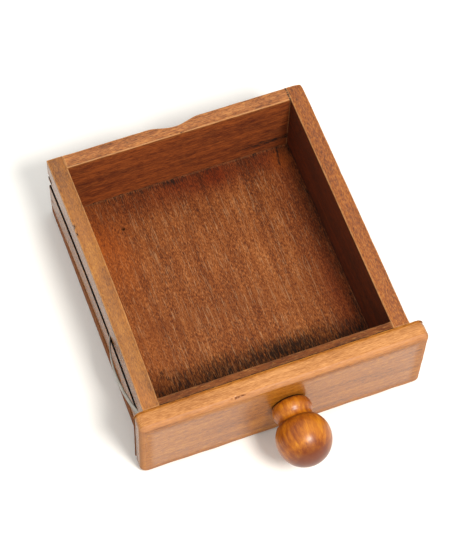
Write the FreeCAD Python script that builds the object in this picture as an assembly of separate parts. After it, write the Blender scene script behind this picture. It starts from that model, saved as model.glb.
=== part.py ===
"""A small open drawer for a wooden keepsake or puzzle box, as a maker would take it apart on a bench.

Four thin walls stand on a full-size bottom board. A thicker face board with rounded edges overhangs the
walls at the front and carries a turned ball knob, drawn up by one wood screw from inside. The left wall has
a groove along its outer face, and a bowed leaf spring is pinned in the groove to hold the drawer shut.

Units are millimetres. +Z is up, the face board is at -Y, and the origin is the middle of the underside of
the bottom board, which is the face the drawer stands and slides on.
"""

import FreeCAD, Part

import math
import os

Vector = FreeCAD.Vector
X_AXIS, Y_AXIS, Z_AXIS = Vector(1, 0, 0), Vector(0, 1, 0), Vector(0, 0, 1)

# Driving dimensions of the box behind the face board
box_width = 100.0
box_depth = 106.0
box_height = 38.5
side_thick = 6.2
back_thick = 5.5
rail_thick = 2.9
bottom_thick = 6.0
joint_gap = 0.15  # the open glue line at each end of the back
eased_edge = 0.4  # edges sanded just off square

# Face board
panel_width = 108.4
panel_shift = 0.7  # the board was glued on a little to the right of the box's middle
panel_thick = 7.4
panel_height = 38.9
panel_lift = 0.3  # clearance under the face board, so the bottom board alone slides
panel_corner = 2.8  # radius of the corners as seen from the front
panel_front_round = 2.0
panel_back_round = 0.6

# Scoop in the outer face of the back
scoop_x = -1.0
scoop_radius = 20.0
scoop_depth = 1.9
scoop_shoulder = 8.0

# Spring groove and the split-out notch in the left wall
groove_floor_z = 20.1
groove_height = 5.0
groove_depth = 2.1
notch_z = 28.0
notch_height = 2.6
notch_length = 4.3
notch_depth = 1.6

# Leaf spring
leaf_thick = 0.5
leaf_width = 4.4
leaf_proud = 2.55  # how far the crown stands out of the wall
leaf_crown_y = -30.0
leaf_rear_radius = 38.0
leaf_front_radius = 54.0
leaf_foot_radius = 12.0
leaf_foot_length = 6.0
leaf_tip_radius = 2.5
leaf_tip_angle = 20.0
leaf_seat = 0.05  # play between the foot and the groove's floor
leaf_tip_play = 0.3  # play between the curled front tip and the groove's floor
tack_radius = 0.6
tack_head_radius = 1.3
tack_head_thick = 0.45
tack_length = 3.2

# Turned knob and its screw
knob_x = 2.15
knob_z = 21.5
ball_radius = 10.1
ball_offset = 14.8  # from the face board to the middle of the ball
ball_join_angle = 52.0  # where the waist runs into the ball, measured round from the knob's axis
collar_radius = 7.4
collar_middle = 2.8
collar_foot_radius = 6.2
collar_foot_offset = 0.35
collar_end_radius = 6.95
collar_end_offset = 5.2
waist_radius = 6.5
waist_offset = 6.6
screw_shank_radius = 1.5
screw_root_radius = 1.05
screw_hole_radius = 1.6
screw_head_radius = 3.0
screw_head_depth = 1.7
screw_length = 20.0
screw_tip = 2.4
thread_pitch = 1.4
thread_start = 10.2
slot_width = 0.8
slot_depth = 0.8

# Panel pins
pin_radius = 0.5
pin_length = 14.0
pin_point = 1.5
pin_head_radius = 0.75
pin_head_thick = 0.6
pin_set = 0.3  # how far each head is punched below the surface
back_pin_heights = (12.0, notch_z)
bottom_pin_rows = (-40.0, 0.0, 40.0)
bottom_pin_back_x = (-22.0, 22.0)

# The one small worm hole in the bottom board
worm_radius = 0.45
worm_depth = 2.5
worm_x = -27.9
worm_y = 33.3

# Places worked out from the sizes above
half_width = box_width / 2
half_depth = box_depth / 2
inner_half = half_width - side_thick
panel_face_y = -half_depth - panel_thick
groove_middle_z = groove_floor_z + groove_height / 2
groove_wall_x = -half_width + groove_depth


def block(x0, x1, y0, y1, z0, z1):
    return Part.makeBox(x1 - x0, y1 - y0, z1 - z0, Vector(x0, y0, z0))


def edges_along(shape, axis, keep):
    """Straight edges of a shape that run along an axis and whose middle point passes the test."""
    found = []
    for edge in shape.Edges:
        if len(edge.Vertexes) != 2:
            continue
        run = edge.Vertexes[1].Point - edge.Vertexes[0].Point
        if run.Length < 1e-6 or abs(abs(run.normalize().dot(axis)) - 1) > 1e-6:
            continue
        if keep(edge.CenterOfMass):
            found.append(edge)
    return found


def rod(radius, length, start, axis):
    return Part.makeCylinder(radius, length, start, axis)


def make_panel():
    """Face board: rounded corners, a soft front edge all round, and a hole for the knob's screw."""
    top = panel_lift + panel_height
    left = panel_shift - panel_width / 2
    board = block(left, left + panel_width, panel_face_y, -half_depth, panel_lift, top)
    board = board.makeFillet(panel_corner, edges_along(board, Y_AXIS, lambda p: True))
    front = [e for e in board.Edges if abs(e.BoundBox.YMax - panel_face_y) < 1e-6]
    board = board.makeFillet(panel_front_round, front)
    back = [e for e in board.Edges if abs(e.BoundBox.YMin + half_depth) < 1e-6]
    board = board.makeFillet(panel_back_round, back)
    hole = rod(screw_hole_radius, panel_thick + 2, Vector(knob_x, panel_face_y - 1, knob_z), Y_AXIS)
    return board.cut(hole)


def make_rail():
    """Thin inner front wall between the sides, countersunk for the knob's screw."""
    back_y = -half_depth + rail_thick
    board = block(-inner_half, inner_half, -half_depth, back_y, bottom_thick, box_height)
    top_edges = edges_along(board, X_AXIS, lambda p: p.z > box_height - 1e-6 and p.y > -half_depth + 1)
    board = board.makeFillet(eased_edge, top_edges)
    hole = rod(screw_hole_radius, rail_thick + 2, Vector(knob_x, -half_depth - 1, knob_z), Y_AXIS)
    sink = Part.makeCone(
        screw_hole_radius,
        screw_head_radius + 0.05,
        screw_head_depth,
        Vector(knob_x, back_y - screw_head_depth, knob_z),
        Y_AXIS,
    )
    return board.cut(hole).cut(sink)


def make_side(sign):
    """A side wall: sign is -1 for the left one and 1 for the right one."""
    inner, outer = sorted((sign * inner_half, sign * half_width))
    board = block(inner, outer, -half_depth, half_depth, bottom_thick, box_height)
    long_edges = edges_along(board, Y_AXIS, lambda p: p.z > box_height - 1e-6)
    rear_edges = edges_along(board, Z_AXIS, lambda p: p.y > half_depth - 1 and abs(p.x) > half_width - 1)
    board = board.makeFillet(eased_edge, long_edges + rear_edges)
    holes = [pin_hole_at_back(sign, z) for z in back_pin_heights]
    holes += [pin_hole(start, Z_AXIS) for start in bottom_pin_starts() if start.x * sign > 0]
    return board.cut(holes)


def make_left_side():
    """The left wall: spring groove from end to end, a tack hole, and the notch split out at its rear end."""
    groove = block(
        -half_width - 1,
        groove_wall_x,
        -half_depth - 1,
        half_depth + 1,
        groove_floor_z,
        groove_floor_z + groove_height,
    )
    notch = block(
        -half_width - 1,
        -half_width + notch_depth,
        half_depth - notch_length,
        half_depth + 1,
        notch_z - notch_height / 2,
        notch_z + notch_height / 2,
    )
    return make_side(-1).cut([groove, notch, make_tack()])


def make_back():
    """The back, between the sides, with a shallow scoop down the middle of its outer face."""
    end = inner_half - joint_gap
    board = block(-end, end, half_depth - back_thick, half_depth, bottom_thick, box_height)
    cutter_y = half_depth + scoop_radius - scoop_depth
    cutter = rod(scoop_radius, box_height + 2, Vector(scoop_x, cutter_y, -1), Z_AXIS)
    board = board.cut(cutter)
    shoulders = edges_along(board, Z_AXIS, lambda p: p.y > half_depth - 0.01 and abs(p.x) < end - 1)
    board = board.makeFillet(scoop_shoulder, shoulders)
    inner_top = edges_along(
        board, X_AXIS, lambda p: p.z > box_height - 1e-6 and p.y < half_depth - back_thick + 0.1
    )
    board = board.makeFillet(eased_edge, inner_top)
    holes = [pin_hole_at_back(sign, z) for sign in (-1, 1) for z in back_pin_heights]
    holes += [pin_hole(start, Z_AXIS) for start in bottom_pin_starts() if start.y > 45]
    return board.cut(holes)


def make_bottom():
    """Bottom board under all four walls, flush with their outer faces."""
    board = block(-half_width, half_width, -half_depth, half_depth, 0, bottom_thick)
    under = edges_along(board, Y_AXIS, lambda p: p.z < 1e-6)
    under += edges_along(board, X_AXIS, lambda p: p.z < 1e-6 and p.y > 0)
    board = board.makeFillet(eased_edge, under)
    worm_hole = rod(worm_radius, worm_depth, Vector(worm_x, worm_y, bottom_thick - worm_depth), Z_AXIS)
    return board.cut([worm_hole] + [pin_hole(start, Z_AXIS) for start in bottom_pin_starts()])


def pin(start, axis):
    """A panel pin driven in at a point of the surface and punched just below it."""
    head_face = start + axis * pin_set
    head = rod(pin_head_radius, pin_head_thick, head_face, axis)
    shank = rod(pin_radius, pin_length - pin_point, head_face, axis)
    point = Part.makeCone(pin_radius, 0.1, pin_point, head_face + axis * (pin_length - pin_point), axis)
    return head.fuse([shank, point]).removeSplitter()


def pin_hole(start, axis):
    """What a driven pin takes out of the wood, with the punch's mark over its head."""
    return pin(start, axis).fuse(rod(pin_head_radius, pin_set, start, axis))


def pin_start_at_back(sign, z):
    """Where a pin goes in through a side wall to reach the end of the back."""
    depth = notch_depth if sign < 0 and z == notch_z else 0
    return Vector(sign * (half_width - depth), half_depth - back_thick / 2, z)


def pin_hole_at_back(sign, z):
    return pin_hole(pin_start_at_back(sign, z), X_AXIS * -sign)


def back_pins(sign):
    """The pins through one side wall into the back."""
    return Part.makeCompound([pin(pin_start_at_back(sign, z), X_AXIS * -sign) for z in back_pin_heights])


def bottom_pin_starts():
    """Where the pins go up through the bottom board into the walls."""
    inset_x = half_width - side_thick / 2
    starts = [Vector(sign * inset_x, y, 0) for sign in (-1, 1) for y in bottom_pin_rows]
    return starts + [Vector(x, half_depth - back_thick / 2, 0) for x in bottom_pin_back_x]


def knob_profile():
    """Half outline of the knob as (distance from the face board, radius) edges, closed on its axis."""
    join_angle = math.radians(ball_join_angle)
    ball_join = (ball_offset - ball_radius * math.cos(join_angle), ball_radius * math.sin(join_angle))
    collar_in = (collar_foot_offset, collar_foot_radius)
    collar_top = (collar_middle, collar_radius)
    collar_out = (collar_end_offset, collar_end_radius)
    waist = (waist_offset, waist_radius)
    tip = (ball_offset + ball_radius, 0.0)
    ball_side = (ball_offset, ball_radius)

    def point(place):
        return Vector(knob_x + place[1], panel_face_y - place[0], knob_z)

    axis_foot, foot = (0.0, 0.0), (0.0, collar_foot_radius - collar_foot_offset)
    edges = [
        Part.LineSegment(point(axis_foot), point(foot)).toShape(),
        Part.LineSegment(point(foot), point(collar_in)).toShape(),
        Part.Arc(point(collar_in), point(collar_top), point(collar_out)).toShape(),
        Part.Arc(point(collar_out), point(waist), point(ball_join)).toShape(),
        Part.Arc(point(ball_join), point(ball_side), point(tip)).toShape(),
        Part.LineSegment(point(tip), point(axis_foot)).toShape(),
    ]
    return Part.Face(Part.Wire(edges))


def make_knob():
    """Turned knob: a bead collar, a short waist and a ball, with a pilot hole for its screw."""
    axis_foot = Vector(knob_x, panel_face_y, knob_z)
    body = knob_profile().revolve(axis_foot, Y_AXIS, 360)
    reach = screw_length - rail_thick - panel_thick
    pilot = rod(screw_root_radius, reach - screw_tip, axis_foot, -Y_AXIS)
    pilot_end = Part.makeCone(
        screw_root_radius, 0.15, screw_tip, axis_foot - Y_AXIS * (reach - screw_tip), -Y_AXIS
    )
    return body.cut(pilot).cut(pilot_end)


def make_knob_screw():
    """Slotted countersunk wood screw, its thread drawn as a stack of sharp ridges round the root."""
    head_y = -half_depth + rail_thick
    root_end = screw_length - screw_tip
    outline = [(0, 0), (0, screw_head_radius), (screw_head_depth, screw_shank_radius)]
    outline.append((thread_start - 0.8, screw_shank_radius))
    outline.append((thread_start, screw_root_radius))
    turns = int((root_end - thread_start) / thread_pitch)
    for turn in range(turns):
        start = thread_start + turn * thread_pitch
        outline.append((start + 0.45 * thread_pitch, screw_root_radius))
        outline.append((start + 0.7 * thread_pitch, screw_shank_radius))
        outline.append((start + 0.95 * thread_pitch, screw_root_radius))
    outline += [(root_end, screw_root_radius), (screw_length, 0.15), (screw_length, 0)]
    points = [Vector(knob_x + r, head_y - depth, knob_z) for depth, r in outline]
    face = Part.Face(Part.makePolygon(points + [points[0]]))
    body = face.revolve(Vector(knob_x, head_y, knob_z), Y_AXIS, 360)
    slot = block(
        knob_x - screw_head_radius - 1,
        knob_x + screw_head_radius + 1,
        head_y - slot_depth,
        head_y + 1,
        knob_z - slot_width / 2,
        knob_z + slot_width / 2,
    )
    return body.cut(slot)


def leaf_path():
    """Middle line of the leaf in plan: pinned rear foot, rear and front halves of the bow, curled tip."""
    floor_x = groove_wall_x - leaf_thick / 2
    foot_x = floor_x - leaf_seat
    crown = Vector(-half_width - leaf_proud + leaf_thick / 2, leaf_crown_y, 0)
    rear_centre = crown + X_AXIS * leaf_rear_radius
    front_centre = crown + X_AXIS * leaf_front_radius

    # the foot's arc bends the other way and meets the rear half of the bow smoothly
    foot_centre = Vector(foot_x - leaf_foot_radius, 0, 0)
    reach = leaf_rear_radius + leaf_foot_radius
    foot_centre.y = leaf_crown_y + math.sqrt(reach**2 - (rear_centre.x - foot_centre.x) ** 2)
    foot_end = Vector(foot_x, foot_centre.y, 0)
    foot_start = foot_end + Y_AXIS * leaf_foot_length
    bow_start = rear_centre + (foot_centre - rear_centre).normalize() * leaf_rear_radius

    # the front half of the bow stops where the curl, bending outwards, just clears the groove's floor
    tip_x = floor_x - leaf_tip_play
    curl_reach = leaf_front_radius + leaf_tip_radius
    front_angle = math.acos((front_centre.x - tip_x + leaf_tip_radius) / curl_reach)
    outward = Vector(-math.cos(front_angle), -math.sin(front_angle), 0)
    bow_end = front_centre + outward * leaf_front_radius
    curl_centre = front_centre + outward * curl_reach

    def on_arc(centre, radius, first, last, share):
        start = math.atan2(first.y - centre.y, first.x - centre.x)
        turn = math.remainder(math.atan2(last.y - centre.y, last.x - centre.x) - start, math.tau)
        angle = start + turn * share
        return centre + Vector(math.cos(angle), math.sin(angle), 0) * radius

    lowest = curl_centre + X_AXIS * leaf_tip_radius
    lift = math.radians(-leaf_tip_angle)
    tip = curl_centre + Vector(math.cos(lift), math.sin(lift), 0) * leaf_tip_radius
    foot_middle = on_arc(foot_centre, leaf_foot_radius, foot_end, bow_start, 0.5)
    rear_middle = on_arc(rear_centre, leaf_rear_radius, bow_start, crown, 0.5)
    front_middle = on_arc(front_centre, leaf_front_radius, crown, bow_end, 0.5)
    return Part.Wire(
        [
            Part.LineSegment(foot_start, foot_end).toShape(),
            Part.Arc(foot_end, foot_middle, bow_start).toShape(),
            Part.Arc(bow_start, rear_middle, crown).toShape(),
            Part.Arc(crown, front_middle, bow_end).toShape(),
            Part.Arc(bow_end, lowest, tip).toShape(),
        ]
    )


def make_leaf():
    """Bowed strip of spring steel, standing on edge in the groove."""
    path = leaf_path()
    base_z = groove_middle_z - leaf_width / 2
    inner = path.makeOffset2D(leaf_thick / 2, 0, False, True)
    outer = path.makeOffset2D(-leaf_thick / 2, 0, False, True)
    ends = []
    for index in (0, -1):
        ends.append(Part.LineSegment(end_point(inner, index), end_point(outer, index)).toShape())
    outline = Part.Wire(Part.__sortEdges__(inner.Edges + outer.Edges + ends))
    strip = Part.Face(outline).extrude(Z_AXIS * leaf_width)
    strip.translate(Z_AXIS * base_z)
    return strip.cut(rod(tack_radius + 0.05, 4, tack_start() - X_AXIS, X_AXIS))


def end_point(wire, index):
    return wire.OrderedVertexes[index].Point


def tack_start():
    """Where the outer face of the tack's head stands, in the middle of the leaf's rear foot."""
    foot_y = leaf_path().OrderedVertexes[0].Point.y - leaf_foot_length / 2
    head_x = groove_wall_x - leaf_seat - leaf_thick - tack_head_thick
    return Vector(head_x, foot_y, groove_middle_z)


def make_tack():
    """Small tack that holds the leaf's rear foot to the floor of the groove."""
    start = tack_start()
    head = rod(tack_head_radius, tack_head_thick, start, X_AXIS)
    shank = rod(tack_radius, tack_length, start, X_AXIS)
    point = Part.makeCone(tack_radius, 0.1, 1.0, start + X_AXIS * tack_length, X_AXIS)
    return head.fuse([shank, point]).removeSplitter()


def export(name, shape):
    if shape.ShapeType != "Compound" and len(shape.Solids) == 1:
        shape = shape.Solids[0]
    assert shape.isValid(), name
    shape.exportStep(f"parts/{name}.step")
    print(f"{name}: {len(shape.Solids)} solid(s), {shape.Volume:.1f} mm3")


def main():
    os.makedirs("parts", exist_ok=True)
    export("front_panel", make_panel())
    export("front_rail", make_rail())
    export("left_side", make_left_side())
    export("right_side", make_side(1))
    export("back", make_back())
    export("bottom", make_bottom())
    export("knob", make_knob())
    export("knob_screw", make_knob_screw())
    export("leaf_spring", make_leaf())
    export("spring_tack", make_tack())
    export("left_back_pins", back_pins(-1))
    export("right_back_pins", back_pins(1))
    export("bottom_pins", Part.makeCompound([pin(start, Z_AXIS) for start in bottom_pin_starts()]))


main()
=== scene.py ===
import bmesh
import bpy
import math
from mathutils import Matrix, Vector, noise


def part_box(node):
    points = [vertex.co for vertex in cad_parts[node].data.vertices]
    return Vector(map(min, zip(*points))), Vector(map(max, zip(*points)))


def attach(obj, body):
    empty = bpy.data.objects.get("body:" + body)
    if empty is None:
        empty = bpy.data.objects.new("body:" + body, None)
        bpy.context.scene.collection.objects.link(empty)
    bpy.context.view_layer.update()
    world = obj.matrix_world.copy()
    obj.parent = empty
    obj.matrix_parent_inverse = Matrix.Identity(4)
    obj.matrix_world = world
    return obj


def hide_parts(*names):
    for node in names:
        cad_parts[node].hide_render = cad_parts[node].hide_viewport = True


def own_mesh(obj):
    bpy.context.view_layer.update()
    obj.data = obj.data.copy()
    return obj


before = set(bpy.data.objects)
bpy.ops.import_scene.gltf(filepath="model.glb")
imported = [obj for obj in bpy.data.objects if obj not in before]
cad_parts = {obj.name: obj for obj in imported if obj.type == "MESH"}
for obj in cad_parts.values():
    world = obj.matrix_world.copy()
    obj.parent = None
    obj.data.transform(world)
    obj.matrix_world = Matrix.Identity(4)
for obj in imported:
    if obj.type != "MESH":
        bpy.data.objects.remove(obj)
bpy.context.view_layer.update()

mm = 0.001
creaseAngle = 38  # in degrees; an edge sharper than this stays crisp
print("frame loaded")


def hexColour(text):
    # sRGB hex to the linear colour that a node wants
    parts = [int(text[i:i + 2], 16) / 255 for i in (1, 3, 5)]
    return [c / 12.92 if c <= 0.04045 else ((c + 0.055) / 1.055) ** 2.4 for c in parts] + [1.0]


def addNode(tree, kind, inputs=None, stops=None, **settings):
    # an input is given a value, a socket, or a node whose first live output it takes
    node = tree.nodes.new(kind)
    for name, value in settings.items():
        setattr(node, name, value)
    for name, value in (inputs or {}).items():
        if isinstance(value, bpy.types.Node):
            value = next(socket for socket in value.outputs if socket.enabled)
        if isinstance(value, bpy.types.NodeSocket):
            tree.links.new(value, node.inputs[name])
        else:
            node.inputs[name].default_value = value
    for i, (place, colour) in enumerate(stops or []):
        ramp = node.color_ramp
        stop = ramp.elements[i] if i < len(ramp.elements) else ramp.elements.new(place)
        stop.position = place
        stop.color = hexColour(colour) if isinstance(colour, str) else [colour] * 3 + [1.0]
    return node


def fade(low, high, value):
    t = min(max((value - low) / (high - low), 0.0), 1.0)
    return t * t * (3 - 2 * t)


def drift(point, size, seed=0.0):
    # smooth random number from about -1 to 1 that changes over size millimetres
    return noise.noise(Vector(point) / size + Vector((seed * 7.31, seed * 3.17, seed * 5.53)))


def boxInMm(node):
    low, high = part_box(node)
    return low / mm, high / mm


def addObject(name, data):
    thing = bpy.data.objects.new(name, data)
    bpy.context.scene.collection.objects.link(thing)
    return thing


def newMaterial(name):
    material = bpy.data.materials.new(name)
    material.use_nodes = True
    material.node_tree.nodes.clear()
    return material


def closeMesh(bm, gap):
    # merges points closer than gap, then drops slivers and faces that lie back to back on the same corners
    bmesh.ops.remove_doubles(bm, verts=bm.verts, dist=gap)
    bmesh.ops.dissolve_degenerate(bm, edges=bm.edges, dist=gap / 2)
    bmesh.ops.triangulate(bm, faces=bm.faces)
    sameCorners = {}
    for face in bm.faces:
        sameCorners.setdefault(frozenset(face.verts), []).append(face)
    flaps = [face for group in sameCorners.values() if len(group) > 1 for face in group]
    bmesh.ops.delete(bm, geom=flaps, context="FACES")
    bmesh.ops.recalc_face_normals(bm, faces=bm.faces)


def smoothPiece(name, mesh, crease=creaseAngle):
    mesh.shade_smooth()
    mesh.set_sharp_from_angle(angle=math.radians(crease))
    return addObject(name, mesh)


def meshPiece(name, bm, crease=creaseAngle, gap=0.008):
    # closes a bmesh drawn in millimetres into a finished piece at the origin, in metres
    closeMesh(bm, gap)
    bmesh.ops.scale(bm, vec=(mm, mm, mm), verts=bm.verts)
    mesh = bpy.data.meshes.new(name)
    bm.to_mesh(mesh)
    bm.free()
    return smoothPiece(name, mesh, crease)


def settle(piece, body, material, slot, *nodes):
    # finish, body and CAD stand-in of a finished piece
    piece.data.materials.clear()
    piece.data.materials.append(material)
    for node in nodes:
        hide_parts(node)
    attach(piece, body)


def plainCopy(thing):
    # what the modifiers of an object make, as a mesh of its own
    bpy.context.view_layer.update()
    return bpy.data.meshes.new_from_object(thing.evaluated_get(bpy.context.evaluated_depsgraph_get()))


def drill(piece, holes, sides=28, above=1.0):
    # round holes, each (start, direction, radius, depth) in millimetres. Their walls come out dark.
    bm = bmesh.new()
    darkWalls = bm.verts.layers.float.new("stain")
    for start, direction, radius, depth in holes:
        turn = Vector(direction).to_track_quat("Z", "Y").to_matrix().to_4x4()
        middle = Vector(start) + Vector(direction) * (depth - above) / 2
        bmesh.ops.create_cone(
            bm, cap_ends=True, segments=sides, radius1=radius, radius2=radius, depth=depth + above,
            matrix=Matrix.Translation(middle) @ turn,
        )
    for vert in bm.verts:
        vert[darkWalls] = 1.0
    cutter = meshPiece(piece.name + "Cutter", bm)
    cut = piece.modifiers.new("holes", "BOOLEAN")
    cut.object = cutter
    cut.operation = "DIFFERENCE"
    cut.solver = "EXACT"
    drilled = plainCopy(piece)
    piece.modifiers.clear()
    bm = bmesh.new()
    bm.from_mesh(drilled)
    closeMesh(bm, 0.003 * mm)
    bm.to_mesh(drilled)
    bm.free()
    piece.data = drilled
    piece.data.set_sharp_from_angle(angle=math.radians(creaseAngle))
    bpy.data.objects.remove(cutter)


def lathe(bm, start, direction, outline, turns, wobble=0.0):
    # turns (distance along, radius) points about a line from start, ends closed where the radius is zero
    turn = Vector(direction).to_track_quat("Z", "Y")
    rings = []
    for along, radius in outline:
        ring = []
        for i in range(turns):
            angle = math.tau * i / turns
            r = radius * (1 + wobble * drift((math.cos(angle), math.sin(angle), along * 0.2), 0.8, 2))
            ring.append(bm.verts.new(
                Vector(start) + turn @ Vector((r * math.cos(angle), r * math.sin(angle), along))
            ))
        rings.append(ring)
    for ring, following in zip(rings, rings[1:]):
        for i in range(turns):
            j = (i + 1) % turns
            bm.faces.new((ring[i], ring[j], following[j], following[i]))


def newNodeTree(name, sizes, places=()):
    # geometry tree with named inputs: its sizes, its places and a finish
    tree = bpy.data.node_groups.new(name, "GeometryNodeTree")
    kinds = {"Geometry": "Geometry"} | dict.fromkeys(sizes, "Float") | dict.fromkeys(places, "Vector")
    kinds["Finish"] = "Material"
    for label, kind in kinds.items():
        tree.interface.new_socket(name=label, in_out="INPUT", socket_type="NodeSocket" + kind)
    tree.interface.new_socket(name="Geometry", in_out="OUTPUT", socket_type="NodeSocketGeometry")
    return tree, addNode(tree, "NodeGroupInput").outputs


def finishTree(tree, geometry, finish):
    # every tree ends the same way: real mesh with its finish on it
    real = addNode(tree, "GeometryNodeRealizeInstances", {0: geometry})
    coated = addNode(tree, "GeometryNodeSetMaterial", {"Geometry": real, "Material": finish})
    addNode(tree, "NodeGroupOutput", {0: coated})


def growPiece(name, base, tree, values):
    # runs a tree on a base object and keeps the result as a plain mesh at the origin
    grow = base.modifiers.new("grow", "NODES")
    grow.node_group = tree
    for item in tree.interface.items_tree:
        if item.in_out == "INPUT" and item.name in values:
            grow[item.identifier] = values[item.name]
    mesh = plainCopy(base)
    bpy.data.objects.remove(base)
    return smoothPiece(name, mesh)


def latticeLines(low, high, edge, step, fine=(), closest=0.015):
    # where a board's grid lines stand along one axis: close at the arrises, even between, fine where told
    tans = [math.tan(math.radians(a)) for a in (45, 30, 15, 0)]
    lines = [low + edge * (1 - t) for t in tans] + [high - edge * (1 - t) for t in tans]
    span = high - low - 2 * edge
    count = max(1, round(span / step))
    lines += [low + edge + span * i / count for i in range(1, count)]
    for start, stop, gap in fine:
        lines = [v for v in lines if not start - gap * 0.4 < v < stop + gap * 0.4 or v in (low, high)]
        lines += [start + gap * i for i in range(int(round((stop - start) / gap)) + 1)]
    kept = []
    for v in sorted(lines):
        if low <= v <= high and (not kept or v - kept[-1] > closest):
            kept.append(v)
    kept[-1] = high
    return kept


def boardPiece(name, low, high, look, shape=None, paint=None, fine=((), (), ()), nicks=()):
    edge = look["edge"]
    lines = [latticeLines(low[i], high[i], edge * 1.5, look["step"][i], fine[i]) for i in range(3)]
    bm = bmesh.new()
    layers = {label: bm.verts.layers.float.new(label) for label in ("wear", "stain", "deep", "glow")}
    butt = "XYZ".index(look["length"])
    found = {}

    def corner(key):
        if key in found:
            return found[key]
        p = Vector([lines[i][key[i]] for i in range(3)])
        gaps = [min(p[i] - low[i], high[i] - p[i]) for i in range(3)]
        rubbed = edge * (1 + look["rub"] * drift(p, look["rubSize"], look["seed"]))
        if gaps[butt] < 1.0:
            rubbed = edge * look["buttShare"]
        rubbed = min(max(rubbed, edge * 0.3), edge * 1.5)
        inner = Vector([min(max(p[i], low[i] + rubbed), high[i] - rubbed) for i in range(3)])
        q = inner + (p - inner).normalized() * rubbed
        tints = {"wear": max(0.0, 1 - sorted(gaps)[1] / look["wearReach"]), "stain": 0.0}
        for label, value in (paint(p) if paint else {}).items():
            tints[label] = max(tints.get(label, 0.0), value)
        for place, size, depth in nicks:
            away = (p - Vector(place)).length / (size * (1 + 0.5 * drift(p, 0.8, 21)))
            if away < 1:
                q += (inner - q).normalized() * depth * (1 - away)
                tints["stain"] = max(tints["stain"], 0.85 * (1 - away))
        if shape:
            q = shape(q)
        vert = bm.verts.new(q)
        for label, value in tints.items():
            vert[layers[label]] = value
        found[key] = vert
        return vert

    for axis in range(3):
        u, v = (axis + 1) % 3, (axis + 2) % 3
        for side in (0, len(lines[axis]) - 1):
            for a in range(len(lines[u]) - 1):
                for b in range(len(lines[v]) - 1):
                    quad = []
                    for da, db in ((0, 0), (1, 0), (1, 1), (0, 1)):
                        key = [0, 0, 0]
                        key[axis], key[u], key[v] = side, a + da, b + db
                        quad.append(corner(tuple(key)))
                    bm.faces.new(quad if side else quad[::-1])
    return meshPiece(name, bm)


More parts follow.
